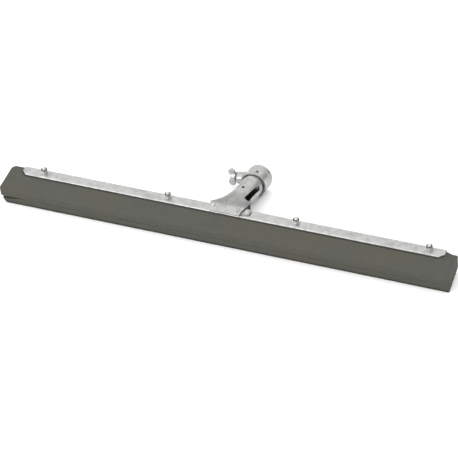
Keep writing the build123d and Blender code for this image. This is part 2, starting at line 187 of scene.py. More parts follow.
class SheetSettings(bpy.types.PropertyGroup):
    """Galvanised pressings."""

    colour: bpy.props.FloatVectorProperty(
        name="Zinc colour", description="Colour of the galvanised sheet", subtype="COLOR", size=3,
        min=0, max=1, default=(0.405, 0.408, 0.398),
    )
    shade: bpy.props.FloatVectorProperty(
        name="Weathered colour", description="Colour of the duller zinc crystals and stains",
        subtype="COLOR", size=3, min=0, max=1, default=(0.315, 0.318, 0.311),
    )
    spangle: bpy.props.FloatProperty(
        name="Spangle", description="Size of the zinc crystals", default=0.005, unit="LENGTH",
    )
    # Painted shade: the neck's sloping sheet between the tongue and the tube is painted darker by
    # this share
    neck_shade: bpy.props.FloatProperty(
        name="Neck shade", description="How much duller the drawn sheet of the neck is",
        default=0.32, min=0, max=1, subtype="FACTOR",
    )
    # Painted highlight: the jaws' front edges are painted brighter by this share, over the width
    # below
    edge_highlight: bpy.props.FloatProperty(
        name="Edge highlight", description="How much brighter the rubbed front edges of the jaws are",
        default=0.16, min=0, subtype="FACTOR",
    )
    edge_width: bpy.props.FloatProperty(
        name="Highlight width", description="Width of the rubbed band along the jaws' front edges",
        default=0.0032, unit="LENGTH",
    )
    # Painted shade: colour painted inside the socket's hollow and on the neck's right side, where
    # these lie in shade
    painted_shade: bpy.props.FloatVectorProperty(
        name="Painted shade colour", description="Colour of the dirt inside the socket and under the neck",
        subtype="COLOR", size=3, min=0, max=1, default=(0.028, 0.028, 0.025),
    )
    # Painted shade: colour painted into narrow gaps and creases of the sheet
    gap_shade: bpy.props.FloatVectorProperty(
        name="Gap shade colour", description="Colour of the grime in narrow gaps", subtype="COLOR",
        size=3, min=0, max=1, default=(0.1, 0.1, 0.095),
    )
    # The painted shade in the socket starts this far in from its mouth
    unshaded_mouth: bpy.props.FloatProperty(
        name="Unshaded mouth", description="How far into the socket the handle keeps the wall clean",
        default=0.014, unit="LENGTH",
    )
    hollow_depth: bpy.props.FloatProperty(
        name="Hollow depth", description="How far the socket's hollow reaches from its mouth",
        default=0.082, unit="LENGTH",
    )
    neck_sides: bpy.props.FloatProperty(
        name="Neck sides",
        description="How far the neck's folded sides reach behind the jaw's front edge",
        default=0.0356, unit="LENGTH",
    )
    corner_span: bpy.props.FloatVectorProperty(
        name="Corner span",
        description="Depths behind the jaw's front edge between which the neck's corners lie",
        size=2, default=(0.0179, 0.0305), unit="LENGTH",
    )
    corner_lap: bpy.props.FloatProperty(
        name="Corner lap", description="How far the corners' sheet laps over the neck",
        default=0.0005, unit="LENGTH",
    )
    corner_sheet: bpy.props.FloatProperty(
        name="Corner sheet", description="Thickness of the sheet in the neck's corners",
        default=0.0008, unit="LENGTH",
    )


class HardwareSettings(bpy.types.PropertyGroup):
    """Bolts, nuts, washers, rivets and the clamping screw."""

    colour: bpy.props.FloatVectorProperty(
        name="Plating colour", description="Colour of the bright zinc plating", subtype="COLOR",
        size=3, min=0, max=1, default=(0.6, 0.6, 0.58),
    )
    # Painted shade: the nuts' tops are painted near black in this colour
    top_shade_colour: bpy.props.FloatVectorProperty(
        name="Top shade colour", description="Colour of the dark oil left on the nuts' tops",
        subtype="COLOR", size=3, min=0, max=1, default=(0.02, 0.02, 0.018),
    )
    cast_colour: bpy.props.FloatVectorProperty(
        name="Casting colour", description="Colour of the cast wings", subtype="COLOR", size=3,
        min=0, max=1, default=(0.46, 0.46, 0.45),
    )
    bolt_count: bpy.props.IntProperty(
        name="Bolts", description="Clamp bolts along the jaws", default=4, min=1,
    )
    bolt_diameter: bpy.props.FloatProperty(
        name="Bolt diameter", description="Diameter of the clamp bolts", default=0.004,
        unit="LENGTH",
    )
    hex_width: bpy.props.FloatProperty(
        name="Hexagon width", description="Width across the flats of nuts and bolt heads",
        default=0.007, unit="LENGTH",
    )
    bolt_pitch: bpy.props.FloatProperty(
        name="Bolt thread", description="Pitch of the clamp bolts' thread", default=0.0007,
        unit="LENGTH",
    )
    screw_pitch: bpy.props.FloatProperty(
        name="Screw thread", description="Pitch of the clamping screw's thread", default=0.00125,
        unit="LENGTH",
    )


class StageSettings(bpy.types.PropertyGroup):
    """Floor, light and camera."""

    floor_colour: bpy.props.FloatVectorProperty(
        name="Floor colour", description="Colour of the plain floor", subtype="COLOR", size=3,
        min=0, max=1, default=(0.93, 0.93, 0.93),
    )
    azimuth: bpy.props.FloatProperty(
        name="Azimuth", description="Camera's turn to the right", default=math.radians(22.68),
        subtype="ANGLE",
    )
    elevation: bpy.props.FloatProperty(
        name="Elevation", description="Camera's height angle", default=math.radians(32.24),
        subtype="ANGLE",
    )
    roll: bpy.props.FloatProperty(
        name="Roll", description="Camera's turn about its own view", default=math.radians(-1.125),
        subtype="ANGLE",
    )
    aside: bpy.props.FloatVectorProperty(
        name="Aside", description="Camera's shift to the right and up from the jaw's front edge",
        size=2, default=(0.0041, -0.0174), unit="LENGTH",
    )
    distance: bpy.props.FloatProperty(
        name="Distance", description="From the camera to the jaw's front edge", default=2.771,
        unit="LENGTH",
    )
    lens: bpy.props.FloatProperty(
        name="Lens", description="Focal length on a 36 mm sensor", default=186.3, unit="CAMERA",
    )


# Materials

# Share of bare metal in the zinc coat
ZINC_METALLIC = 0.9

# Where shade is painted on the socket: how its inner walls and the neck's folded side are turned,
# and how softly the painted shade ends
INNER_FACING = (0.35, 0.0)
FOLDED_FACING = (0.86, 0.95)
HOLLOW_FADE = 0.004
FOLD_FADE = 0.001


def node_maker(tree):
    """Function that adds a node to a tree, with its values set and its links made."""

    def node(kind, inputs=None, **settings):
        made = tree.nodes.new(kind)
        for key, value in settings.items():
            setattr(made, key, value)
        for key, value in (inputs or {}).items():
            if isinstance(value, bpy.types.NodeSocket):
                tree.links.new(value, made.inputs[key])
            else:
                made.inputs[key].default_value = value
        return made

    return node


def new_material(name):
    """Empty material with its shader, and functions that add nodes and wire them to the shader."""
    material = bpy.data.materials.new(name)
    material.use_nodes = True
    tree = material.node_tree
    shader = tree.nodes["Principled BSDF"]

    def wire(socket, name):
        tree.links.new(socket, shader.inputs[name])

    return material, shader, node_maker(tree), wire


def opaque(colour):
    """Colour with full cover, as a socket takes it."""
    return (*colour, 1)


def toned(colour, share):
    """Colour made darker or lighter by a share."""
    return tuple(c * share for c in colour)


def ramp(node, factor, stops):
    """Colour ramp over a factor; stops are (place, grey level or colour)."""
    made = node("ShaderNodeValToRGB", {"Fac": factor})
    bands = made.color_ramp.elements
    while len(bands) < len(stops):
        bands.new(0.5)
    for band, (place, colour) in zip(bands, stops):
        band.position = place
        band.color = opaque(colour if isinstance(colour, tuple) else (colour, colour, colour))
    return made.outputs["Color"]


def fade(node, value, start, end):
    """Soft step from 0 at start to 1 at end."""
    made = node(
        "ShaderNodeMapRange",
        {"Value": value, "From Min": start, "From Max": end},
        interpolation_type="SMOOTHSTEP",
    )
    return made.outputs["Result"]


def scaled(node, mask, low, high):
    """Number that is low where a mask is 0 and high where it is 1."""
    made = node("ShaderNodeMapRange", {"Value": mask, "To Min": low, "To Max": high})
    return made.outputs["Result"]


def product(node, first, second):
    """Product of two masks."""
    return node("ShaderNodeMath", {0: first, 1: second}, operation="MULTIPLY").outputs["Value"]


def vector_math(node, operation, first, second):
    """Vector and number that a vector operation gives."""
    made = node("ShaderNodeVectorMath", {0: first, 1: second}, operation=operation)
    return made.outputs[0], made.outputs[1]


def times(node, vector, number):
    """Vector or colour times a number."""
    made = node("ShaderNodeVectorMath", {0: vector, "Scale": number}, operation="SCALE")
    return made.outputs["Vector"]


def mean(node, share, first, second):
    """Number between two others, by the share of the second."""
    return node("ShaderNodeMix", {"Factor": share, "A": first, "B": second}).outputs["Result"]


def blend(node, mask, under, over):
    """One colour where a mask is 0 and another where it is 1."""
    return node("ShaderNodeMix", {0: mask, 6: under, 7: over}, data_type="RGBA").outputs[2]


def clouds(node, place, scale, detail, roughness=0.5):
    """Noise from 0 to 1."""
    made = node(
        "ShaderNodeTexNoise",
        {"Vector": place, "Scale": scale, "Detail": detail, "Roughness": roughness},
    )
    return made.outputs["Fac"]


def open_air(node, reach, shut, free):
    """0 in narrow gaps and 1 in the open."""
    gap = node("ShaderNodeAmbientOcclusion", {"Distance": reach}, samples=8)
    return ramp(node, gap.outputs["AO"], [(shut, 0.0), (free, 1.0)])


def softened(node, radius):
    """Normals with the edges rounded."""
    return node("ShaderNodeBevel", {"Radius": radius}, samples=4).outputs["Normal"]


def bump(node, height, strength, depth, normal=None):
    """Normals of a surface that is raised by a height."""
    inputs = {"Strength": strength, "Distance": depth, "Height": height}
    if normal is not None:
        inputs["Normal"] = normal
    return node("ShaderNodeBump", inputs).outputs["Normal"]


def foam_material(settings):
    """Matt closed-cell foam: mottling, pores, stains, painted shade near the floor and painted
    shade in gaps.
    """
    material, shader, node, wire = new_material("foam_rubber")
    place = node("ShaderNodeTexCoord").outputs["Object"]
    base = tuple(settings.colour)
    mottle = clouds(node, place, scale=90, detail=5, roughness=0.65)
    grain = clouds(node, place, scale=900, detail=3, roughness=0.6)
    both = mean(node, 0.45, mottle, grain)
    clean = ramp(node, both, [(0.3, toned(base, 0.78)), (0.52, base), (0.75, toned(base, 1.22))])
    patches = clouds(node, place, scale=14, detail=3, roughness=0.55)
    stained = fade(node, patches, 0.45, 0.68)
    unshaded_foam = blend(node, stained, clean, opaque(settings.stain_colour))
    # painted shade: the foam turns darker within a few millimetres of the floor, standing in for
    # the contact shadow
    above = node("ShaderNodeSeparateXYZ", {"Vector": place}).outputs["Z"]
    bottom_shade = fade(node, above, settings.bottom_shade_height, settings.bottom_shade_height * 0.3)
    bottom_shaded = blend(node, bottom_shade, unshaded_foam, opaque(settings.bottom_shade_colour))
    # painted shade: the foam turns near black in narrow gaps, such as where the lips part
    seen = open_air(node, reach=0.006, shut=0.12, free=0.42)
    wire(blend(node, seen, opaque(toned(settings.bottom_shade_colour, 0.2)), bottom_shaded), "Base Color")
    wire(ramp(node, mottle, [(0.3, 0.78), (0.7, 0.92)]), "Roughness")
    pores = node("ShaderNodeTexVoronoi", {"Vector": place, "Scale": 1500}).outputs["Distance"]
    holes = ramp(node, pores, [(0.0, 0.0), (0.35, 1.0)])
    pitted = bump(node, holes, strength=0.35, depth=0.0002)
    wire(bump(node, both, strength=0.5, depth=0.0005, normal=pitted), "Normal")
    shader.inputs["Specular IOR Level"].default_value = 0.25
    return material


def socket_painted_shade(node, place, settings):
    """Mask of painted shade: 1 on the socket's inner walls behind its mouth and on the neck's right
    side.
    """
    axis = Vector(MOUNT["axis"]).normalized()
    normal = node("ShaderNodeNewGeometry").outputs["Normal"]
    apart, _ = vector_math(node, "SUBTRACT", place, Vector(MOUNT["pos_m"]))
    along, _ = vector_math(node, "PROJECT", apart, axis)
    _, depth = vector_math(node, "DOT_PRODUCT", apart, axis)
    radial, _ = vector_math(node, "SUBTRACT", apart, along)
    outward, _ = vector_math(node, "NORMALIZE", radial, radial)
    _, facing = vector_math(node, "DOT_PRODUCT", outward, normal)
    # the mount sits halfway along its bore, so the mouth is half the length away, in metres
    mouth = MOUNT["dims"]["length_mm"] / 2000
    end = mouth - settings.hollow_depth
    past_mouth = fade(node, depth, mouth, mouth - settings.unshaded_mouth)
    before_end = fade(node, depth, end - HOLLOW_FADE, end)
    within = product(node, past_mouth, before_end)
    inner = product(node, fade(node, facing, *INNER_FACING), within)
    sideways = node("ShaderNodeSeparateXYZ", {"Vector": normal}).outputs["X"]
    rear = (HEAD @ Vector((0, settings.neck_sides, -settings.neck_sides / 3))).y
    back = node("ShaderNodeSeparateXYZ", {"Vector": place}).outputs["Y"]
    before_rear = fade(node, back, rear + FOLD_FADE, rear)
    folded = product(node, fade(node, sideways, *FOLDED_FACING), before_rear)
    return node("ShaderNodeMath", {0: inner, 1: folded}, operation="MAXIMUM").outputs["Value"]


def head_depth(node, place):
    """Depth on the head of the place that is shaded, from the jaws' front edge."""
    apart, _ = vector_math(node, "SUBTRACT", place, HEAD.translation)
    return vector_math(node, "DOT_PRODUCT", apart, HEAD.col[1].to_3d())[1]


def edge_painted_highlight(node, place, settings):
    """Brightness of the jaws' sheet, with a painted highlight along the front edge."""
    band = fade(node, head_depth(node, place), settings.edge_width, settings.edge_width * 0.6)
    return scaled(node, band, 1.0, 1.0 + settings.edge_highlight)


def neck_painted_shade(node, place, settings):
    """Brightness of the socket's sheet, with painted shade over the middle of the neck, between the
    tongue and the tube.
    """
    depth = head_depth(node, place)
    reach = settings.neck_sides
    before_tube = fade(node, depth, reach * 1.5, reach)
    past_tongue = fade(node, depth, reach * 0.28, reach * 0.42)
    shade_band = product(node, before_tube, past_tongue)
    return scaled(node, shade_band, 1.0, 1.0 - settings.neck_shade)


def galvanised_material(name, settings, painted_light_by=None, painted_shade=None):
    """Zinc-coated sheet: crystals, dull patches, scratches, soft bends, painted shade in narrow
    gaps, and painted light and shade where they are given.
    """
    material, shader, node, wire = new_material(name)
    place = node("ShaderNodeTexCoord").outputs["Object"]
    warp = node("ShaderNodeTexNoise", {"Vector": place, "Scale": 220, "Detail": 3})
    moved, _ = vector_math(node, "ADD", place, times(node, warp.outputs["Color"], 0.004))
    crystals = node("ShaderNodeTexVoronoi", {"Vector": moved, "Scale": 1 / settings.spangle})
    tone = node("ShaderNodeSeparateColor", {"Color": crystals.outputs["Color"]}).outputs["Red"]
    patches = clouds(node, place, scale=26, detail=6, roughness=0.62)
    mixed = mean(node, 0.68, tone, patches)
    zinc = ramp(node, mixed, [(0.28, tuple(settings.shade)), (0.62, tuple(settings.colour))])
    # painted highlight on the jaws and painted shade on the neck scale the zinc's colour
    if painted_light_by:
        zinc = times(node, zinc, painted_light_by(node, place, settings))
    # painted shade: the zinc turns dark grey in narrow gaps and creases
    seen = open_air(node, reach=0.018, shut=0.06, free=0.3)
    colour = blend(node, seen, opaque(settings.gap_shade), zinc)
    gloss = ramp(node, mixed, [(0.25, 0.46), (0.75, 0.3)])
    shader.inputs["Metallic"].default_value = ZINC_METALLIC
    # painted shade: where the mask is 1 the sheet turns near black, matt and not metallic
    if painted_shade:
        cover = painted_shade(node, place, settings)
        colour = blend(node, cover, colour, opaque(settings.painted_shade))
        gloss = blend(node, cover, gloss, (1, 1, 1, 1))
        wire(scaled(node, cover, ZINC_METALLIC, 0.0), "Metallic")
    wire(colour, "Base Color")
    wire(gloss, "Roughness")
    stretch = node("ShaderNodeMapping", {"Vector": place, "Scale": (60, 1400, 1400)})
    scratches = clouds(node, stretch.outputs["Vector"], scale=1, detail=2)
    soft = softened(node, 0.0004)
    wire(bump(node, scratches, strength=0.12, depth=0.0002, normal=soft), "Normal")
    shader.inputs["Specular IOR Level"].default_value = 0.15
    return material


def plated_material(name, colour, roughness, grain, top_shade=None):
    """Plated or cast metal: fine grain, dull spots, soft edges, and painted shade on top if it is
    given.
    """
    material, shader, node, wire = new_material(name)
    place = node("ShaderNodeTexCoord").outputs["Object"]
    base = tuple(colour)
    spots = clouds(node, place, scale=180, detail=5, roughness=0.6)
    cast = clouds(node, place, scale=1800, detail=2)
    shown = ramp(node, spots, [(0.3, toned(base, 0.72)), (0.65, base)])
    # painted shade: faces that look up along the head turn near black
    if top_shade:
        normal = node("ShaderNodeNewGeometry").outputs["Normal"]
        _, facing = vector_math(node, "DOT_PRODUCT", normal, HEAD.col[2].to_3d())
        shown = blend(node, fade(node, facing, 0.7, 0.85), shown, opaque(top_shade))
    wire(shown, "Base Color")
    wire(ramp(node, spots, [(0.25, roughness + 0.14), (0.7, roughness)]), "Roughness")
    soft = softened(node, 0.0003)
    wire(bump(node, cast, strength=grain, depth=0.0002, normal=soft), "Normal")
    shader.inputs["Metallic"].default_value = 1.0
    return material


def dress(material, *nodes):
    """Gives CAD nodes a material."""
    for name in nodes:
        mesh = frame["nodes"][name].data
        mesh.materials.clear()
        mesh.materials.append(material)


def add_piece(name, mesh, body, slot, material, *replaced):
    """Finished mesh as a piece that rides on a body and stands for CAD nodes."""
    piece = bpy.data.objects.new(name, mesh)
    bpy.context.collection.objects.link(piece)
    mesh.materials.clear()
    mesh.materials.append(material)
    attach(piece, body)
    if replaced:
        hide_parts(*replaced)
    return piece


def finished_mesh(name, shape, crease):
    """Mesh of a closed shape, shaded smooth up to a crease angle."""
    bmesh.ops.recalc_face_normals(shape, faces=shape.faces)
    for face in shape.faces:
        face.smooth = True
    made = bpy.data.meshes.new(name)
    shape.to_mesh(made)
    shape.free()
    made.set_sharp_from_angle(angle=crease)
    return made


# Foam blades

# How the foam gives way to the jaws' turned lips
LIP_GAP = 0.00005
LIP_MARGIN = 0.0001
LIP_RISE = 0.0022
LIP_FALL = 0.0016

# Where the blade's points stand close: behind and before the lips, and inside the jaws' corners
CLOSE_BEHIND = 0.0045
CLOSE_BEFORE = 0.006
CLOSE_CORNER = 0.004
MIDDLE_STATIONS = 130
OUTER_STATIONS = 36
EDGE_STEPS = 6
CORNER_STEPS = 8

# Unevenness of the cut faces: waves for each metre, and how far before the jaws it sets in
LIP_WAVES = 22
LONG_WAVES = (16, 30)
SHORT_WAVES = 70
FREE_MARGIN = 0.001
FREE_RUN = 0.008

# How far the wear reaches from an end, and where the right rear corner droops
END_REACH = 0.03
DROOP_MARGIN = 0.001
DROOP_RUN = 0.013
DROOP_FRONT = 0.006
DROOP_DEPTH = 0.014

SHEET_CREASE = math.radians(40)


def smooth(value):
    """Soft step from 0 to 1."""
    value = min(max(value, 0.0), 1.0)
    return value * value * (3 - 2 * value)


def spread(start, end, count):
    """Even steps from start to end, both included."""
    return [start + (end - start) * i / (count - 1) for i in range(count)]


def rounding(radius, over):
    """How far a rounded corner falls back at a distance past the start of its rounding."""
    return radius - math.sqrt(max(radius**2 - over**2, 0.0)) if over > 0 else 0.0


class FoamBlade:
    """One foam strip, pressed in by a jaw's turned lip on one face."""

    def __init__(self, node, jaw, settings, upper):
        self.low, self.high = head_box(node)
        jaw_low, jaw_high = head_box(jaw)
        self.jaw_half = jaw_high.x
        self.jaw_front = jaw_low.y
        self.settings = settings
        self.upper = upper
        self.thick = self.high.z - self.low.z

    def press(self, x, depth):
        """How far the jaw holds the face down at a place."""
        s = self.settings
        x = abs(x)
        depth = depth - self.jaw_front
        run = self.jaw_half - s.jaw_cut
        corner = (depth + self.jaw_half - x - s.jaw_cut) / math.sqrt(2)
        if x <= run:
            edge = abs(depth)
        else:
            along = min(max(((x - run) + depth) / 2, 0.0), s.jaw_cut)
            edge = math.hypot(x - run - along, depth - along)
        inside = depth >= 0 and corner >= 0 and x <= self.jaw_half
        if inside:
            if x > run:
                edge = min(edge, depth)
            back = smooth((edge - s.jaw_sheet - LIP_MARGIN) / LIP_RISE)
            return (s.jaw_lip + LIP_GAP) * (1 - back) + LIP_GAP * back
        return s.jaw_lip * math.exp(-edge / LIP_FALL)

    def ring(self, x):
        """Points (depth, press) round the blade at x, from the rear of the pressed face."""
        s = self.settings
        half = self.high.x
        bend = s.left_round if x < 0 else s.right_round
        lip = self.low.y + rounding(bend, abs(x) - (half - bend))
        lip += s.waviness * (0.5 + 0.5 * noise.noise((x * LIP_WAVES, 3.0, 5.0 * self.upper)))
        rear = self.high.y - rounding(s.rear_round, -x - (half - s.rear_round))
        outer, inner, thick = s.edge_round, s.inner_round, self.thick
        front = self.jaw_front
        behind, before = front + CLOSE_BEHIND, front - CLOSE_BEFORE
        depths = spread(rear, behind, 6)[:-1] + spread(behind, front, 10)[:-1]
        depths += spread(front, before, 11)[:-1] + spread(before, lip + outer, 9)
        points = [(d, self.press(x, d)) for d in depths]
        angles = [math.radians(90 * step / EDGE_STEPS) for step in range(EDGE_STEPS + 1)]
        for a in angles[1:]:
            points.append((lip + outer - outer * math.sin(a), outer - outer * math.cos(a)))
        points += [(lip, v) for v in spread(outer, thick - inner, 5)[1:-1]]
        for a in angles:
            points.append((lip + inner - inner * math.cos(a), thick - inner + inner * math.sin(a)))
        points += [(d, thick) for d in spread(lip + inner, rear, 14)[1:]]
        points += [(rear, v) for v in spread(thick, points[0][1], 5)[1:-1]]
        return points

    def place(self, x, depth, press):
        """Place in the shared frame of a point of the ring, with unevenness, wear and droop."""
        s = self.settings
        share = press / self.thick
        wave = noise.noise((x * LONG_WAVES[0], depth * LONG_WAVES[1], 7.0 * self.upper))
        wave += 0.5 * noise.noise((x * SHORT_WAVES, depth * SHORT_WAVES, 2.0))
        free = smooth((self.jaw_front - depth - FREE_MARGIN) / FREE_RUN)
        press = press + s.waviness * (0.5 + 0.35 * wave) * free * (1 - 2 * smooth(share))
        height = self.high.z - press if self.upper else self.low.z + press
        forward = (self.high.y - depth) / (self.high.y - self.low.y)
        shorter = s.left_skew * forward
        if self.upper:
            sunk = smooth((x - self.jaw_half + DROOP_MARGIN) / DROOP_RUN)
            sunk *= smooth((depth + DROOP_FRONT) / DROOP_DEPTH)
            height -= s.droop * sunk * (1 - share)
        else:
            shorter += s.left_wear[1] + (s.left_wear[0] - s.left_wear[1]) * share
            parted = smooth((-x - self.high.x + s.parted_length) / s.parted_length)
            height -= s.parting * parted * share * smooth((self.jaw_front - depth) / -self.low.y)
        left = smooth((-x - self.high.x + END_REACH) / END_REACH)
        right = smooth((x - self.high.x + END_REACH) / END_REACH)
        x += shorter * left - s.right_skew * (1 - forward) * right
        return HEAD @ Vector((x, depth, height))

    def stations(self):
        """Places along the blade, close together at the jaws' corners and at the ends."""
        half = self.high.x
        close = self.jaw_half - self.settings.jaw_cut - CLOSE_CORNER
        turns = [math.radians(90 * i / CORNER_STEPS) for i in range(CORNER_STEPS + 1)]
        places = set()
        for side, bend in ((-1, self.settings.left_round), (1, self.settings.right_round)):
            run = spread(0.0, close, MIDDLE_STATIONS)[:-1]
            run += spread(close, half - bend, OUTER_STATIONS)[:-1]
            run += [half - bend + bend * math.sin(a) for a in turns]
            places.update(side * x for x in run)
        return sorted(places)

    def mesh(self, name):
        """Closed skin of the blade."""
        shape = bmesh.new()
        rings = [
            [shape.verts.new(self.place(x, *point)) for point in self.ring(x)]
            for x in self.stations()
        ]
        count = len(rings[0])
        for near, far in zip(rings, rings[1:]):
            for i in range(count):
                j = (i + 1) % count
                shape.faces.new((near[i], near[j], far[j], far[i]))
        shape.faces.new(rings[0])
        shape.faces.new(list(reversed(rings[-1])))
        return finished_mesh(name, shape, SHEET_CREASE)


class SQUEEGEE_OT_foam_blades(bpy.types.Operator):
    """Makes the two foam blades, pressed in by the jaws"""

    bl_idname = "squeegee.foam_blades"
    bl_label = "Foam Blades"

    def execute(self, context):
        settings = context.scene.squeegee_foam
        material = foam_material(settings)
        for node, jaw, upper in (
            ("upper_blade", "upper_jaw", True),
            ("lower_blade", "lower_jaw", False),
        ):
            mesh = FoamBlade(node, jaw, settings, upper).mesh(node + "_foam")
            piece = add_piece(node + "_foam", mesh, "head", "foam_rubber", material, node)
        return {"FINISHED"}


# Galvanised pressings

# How the faces on both sides of an open corner's rim are turned
TOP_FACING = 0.3
UNDER_FACING = 0.12
SIDE_FACING = 0.2

# How closely the rim's points are told apart
MERGE = 1e-6
FRONT_BAND = 0.0002
OFF_LINE = 0.0002
LEAST_STEP = 0.0003

# Lowest level of the rim's tip, and the share of the top's level above which its outer point lies
TIP_LEVEL = -0.006
OUTER_SHARE = 0.7

# Points along and steps across a corner's sheet, and its lap over its lift off the neck
RIM_POINTS = 13
ACROSS = 4
LAP_OVER_LIFT = 12


class SQUEEGEE_OT_pressings(bpy.types.Operator):
    """Gives the jaws, neck, socket, sleeve and boss their galvanised finish"""

    bl_idname = "squeegee.pressings"
    bl_label = "Galvanised Pressings"

    def execute(self, context):
        settings = context.scene.squeegee_sheet
        # the jaws get a painted highlight along their front edges
        jaws = galvanised_material("galvanised_jaws", settings, edge_painted_highlight)
        dress(jaws, "upper_jaw", "lower_jaw")
        # the socket gets painted shade over the middle of the neck, in its hollow and on the neck's
        # right side
        dress(galvanised_material("galvanised_socket", settings, neck_painted_shade, socket_painted_shade), "socket")
        dress(galvanised_material("galvanised_sleeve", settings), "sleeve", "screw_boss")
        return {"FINISHED"}


def corner_points(side, span):
    """Points, measured along the head, round the open corner on one side of the neck."""
    shape = bmesh.new()
    shape.from_mesh(frame["nodes"]["socket"].data)
    bmesh.ops.remove_doubles(shape, verts=shape.verts, dist=MERGE)
    up = HEAD.col[2].to_3d()
    points = []
    for edge in shape.edges:
        middle = TO_HEAD @ ((edge.verts[0].co + edge.verts[1].co) / 2)
        if not span[0] < middle.y < span[1] or middle.x * side < 0 or len(edge.link_faces) != 2:
            continue
        under, top = sorted(edge.link_faces, key=lambda face: face.normal.dot(up))
        hollow = under.normal.dot(up) < UNDER_FACING and under.normal.x * side < SIDE_FACING
        if hollow and top.normal.dot(up) > TOP_FACING:
            points += [TO_HEAD @ vert.co for vert in edge.verts]
    shape.free()
    return points


def corner_rim(side, span):
    """Inner edge, from front to rear, and outer front point of the open corner on one side."""
    rim = corner_points(side, span)
    front = [p for p in rim if p.y < span[0] + FRONT_BAND]
    top = max(front, key=lambda p: p.z)
    outer = max((p for p in front if p.z > top.z * OUTER_SHARE), key=lambda p: p.x * side)
    tip = max((p for p in rim if p.z > TIP_LEVEL), key=lambda p: p.y)
    run = tip - top
    seen = [top]
    for point in sorted(rim, key=lambda p: p.y):
        aside = (point.x - top.x) * run.y - (point.y - top.y) * run.x
        on_line = abs(aside) < OFF_LINE * run.length and point.z > tip.z
        if on_line and seen[-1].y + LEAST_STEP < point.y < tip.y - LEAST_STEP:
            seen.append(point)
    seen.append(tip)
    inner = []
    for depth in spread(top.y, tip.y, RIM_POINTS):
        k = max(i for i, p in enumerate(seen[:-1]) if p.y <= depth + 1e-9)
        near, far = seen[k], seen[k + 1]
        inner.append(near.lerp(far, (depth - near.y) / (far.y - near.y)))
    return inner, outer


def add_corner_sheet(shape, rows, tip, lift, sheet):
    """Closed sheet of a neck corner over rows of points that run together at a tip."""
    rims = []
    for drop in (-lift, sheet):
        low = Vector((0, 0, drop))
        verts = [[shape.verts.new(HEAD @ (point - low)) for point in row] for row in rows]
        end = shape.verts.new(HEAD @ (tip - low))
        for near, far in zip(verts, verts[1:]):
            for k in range(len(near) - 1):
                shape.faces.new((near[k], near[k + 1], far[k + 1], far[k]))
        for k in range(len(verts[-1]) - 1):
            shape.faces.new((verts[-1][k], verts[-1][k + 1], end))
        out = [row[-1] for row in verts[1:]]
        back = [row[0] for row in reversed(verts[1:])]
        rims.append(verts[0] + out + [end] + back)
    top, bottom = rims
    for k in range(len(top)):
        j = (k + 1) % len(top)
        shape.faces.new((top[k], top[j], bottom[j], bottom[k]))


class SQUEEGEE_OT_neck_corners(bpy.types.Operator):
    """Closes the corners where the neck's flat sheet runs into the tube"""

    bl_idname = "squeegee.neck_corners"
    bl_label = "Neck Corners"

    def execute(self, context):
        settings = context.scene.squeegee_sheet
        lap = settings.corner_lap
        shape = bmesh.new()
        for side in (-1, 1):
            inner, outer = corner_rim(side, settings.corner_span)
            tip = inner[-1]
            rows = []
            for point in inner[:-1]:
                share = (point.y - inner[0].y) / (tip.y - inner[0].y)
                edge = outer.lerp(tip, share)
                lapped = point + (point - edge).normalized() * lap
                rows.append([lapped.lerp(edge, k / ACROSS) for k in range(ACROSS + 1)])
            ahead = (rows[0][0] - rows[1][0]).normalized() * lap
            rows.insert(0, [point + ahead for point in rows[0]])
            add_corner_sheet(shape, rows, tip, lap / LAP_OVER_LIFT, settings.corner_sheet)
        mesh = finished_mesh("neck_corners", shape, SHEET_CREASE)
        material = frame["nodes"]["socket"].data.materials[0]
        add_piece("neck_corners", mesh, "head", "galvanised_sheet", material)
        return {"FINISHED"}


# Bolts, nuts, washers and rivets

# Points round a turned piece, and the angle up to which it is shaded smooth
SIDES = 48
TURNED_CREASE = math.radians(28)

# Turned chamfer of a hexagon: share of its width where it starts, and its slope
CHAMFER_START = 0.485
CHAMFER_SLOPE = math.tan(math.radians(30))

# Thread: rings for each turn, slope of the flanks, width of the crest, taper at the end,
# and depth as a share of the pitch
THREAD_STEPS = 8
THREAD_FLANK = 1.3
THREAD_CREST = 0.15
THREAD_TAPER = 0.8
BOLT_THREAD_DEPTH = 0.55
SCREW_THREAD_DEPTH = 0.5

# Bevel in a nut's bore, and where the bolts' thread begins below the nuts' washers
BORE_BEVEL = 0.0005
THREAD_BELOW = 0.004
THREAD_LEAD = 0.0002

# The stud: how its tip and its full width are told apart, the bevel of its tip,
# and the step from its shoulder to the thread
TIP_BAND = 0.0005
WIDTH_BAND = 0.0002
TIP_BEVEL = 0.0004
SHOULDER_STEP = 0.0001


def circle(radius, height):
    """Ring of points at a height."""
    angles = [2 * math.pi * k / SIDES for k in range(SIDES)]
    return [Vector((radius * math.cos(a), radius * math.sin(a), height)) for a in angles]


def hexagon(width, height, chamfer):
    """Ring of a hexagon, bent down (1) or up (-1) where a turned chamfer cuts its corners."""
    ring = []
    for k in range(SIDES):
        angle = 2 * math.pi * k / SIDES
        radius = width / 2 / math.cos(angle % (math.pi / 3) - math.pi / 6)
        drop = chamfer * (radius - CHAMFER_START * width) * CHAMFER_SLOPE
        ring.append(Vector((radius * math.cos(angle), radius * math.sin(angle), height - drop)))
    return ring


def thread(radius, depth, pitch, low, high):
    """Rings of a right-hand thread, run out at its top end."""
    steps = max(2, round((high - low) / pitch * THREAD_STEPS))
    rings = []
    for height in spread(low, high, steps + 1):
        limit = radius - depth + (high - height) * THREAD_TAPER
        ring = circle(1.0, height)
        for k, point in enumerate(ring):
            crest = abs(2 * ((height / pitch - k / SIDES) % 1.0) - 1)
            sunk = min(max(crest * THREAD_FLANK - THREAD_CREST, 0.0), 1.0)
            reach = min(radius - depth * sunk, limit)
            point.x *= reach
            point.y *= reach
        rings.append(ring)
    return rings


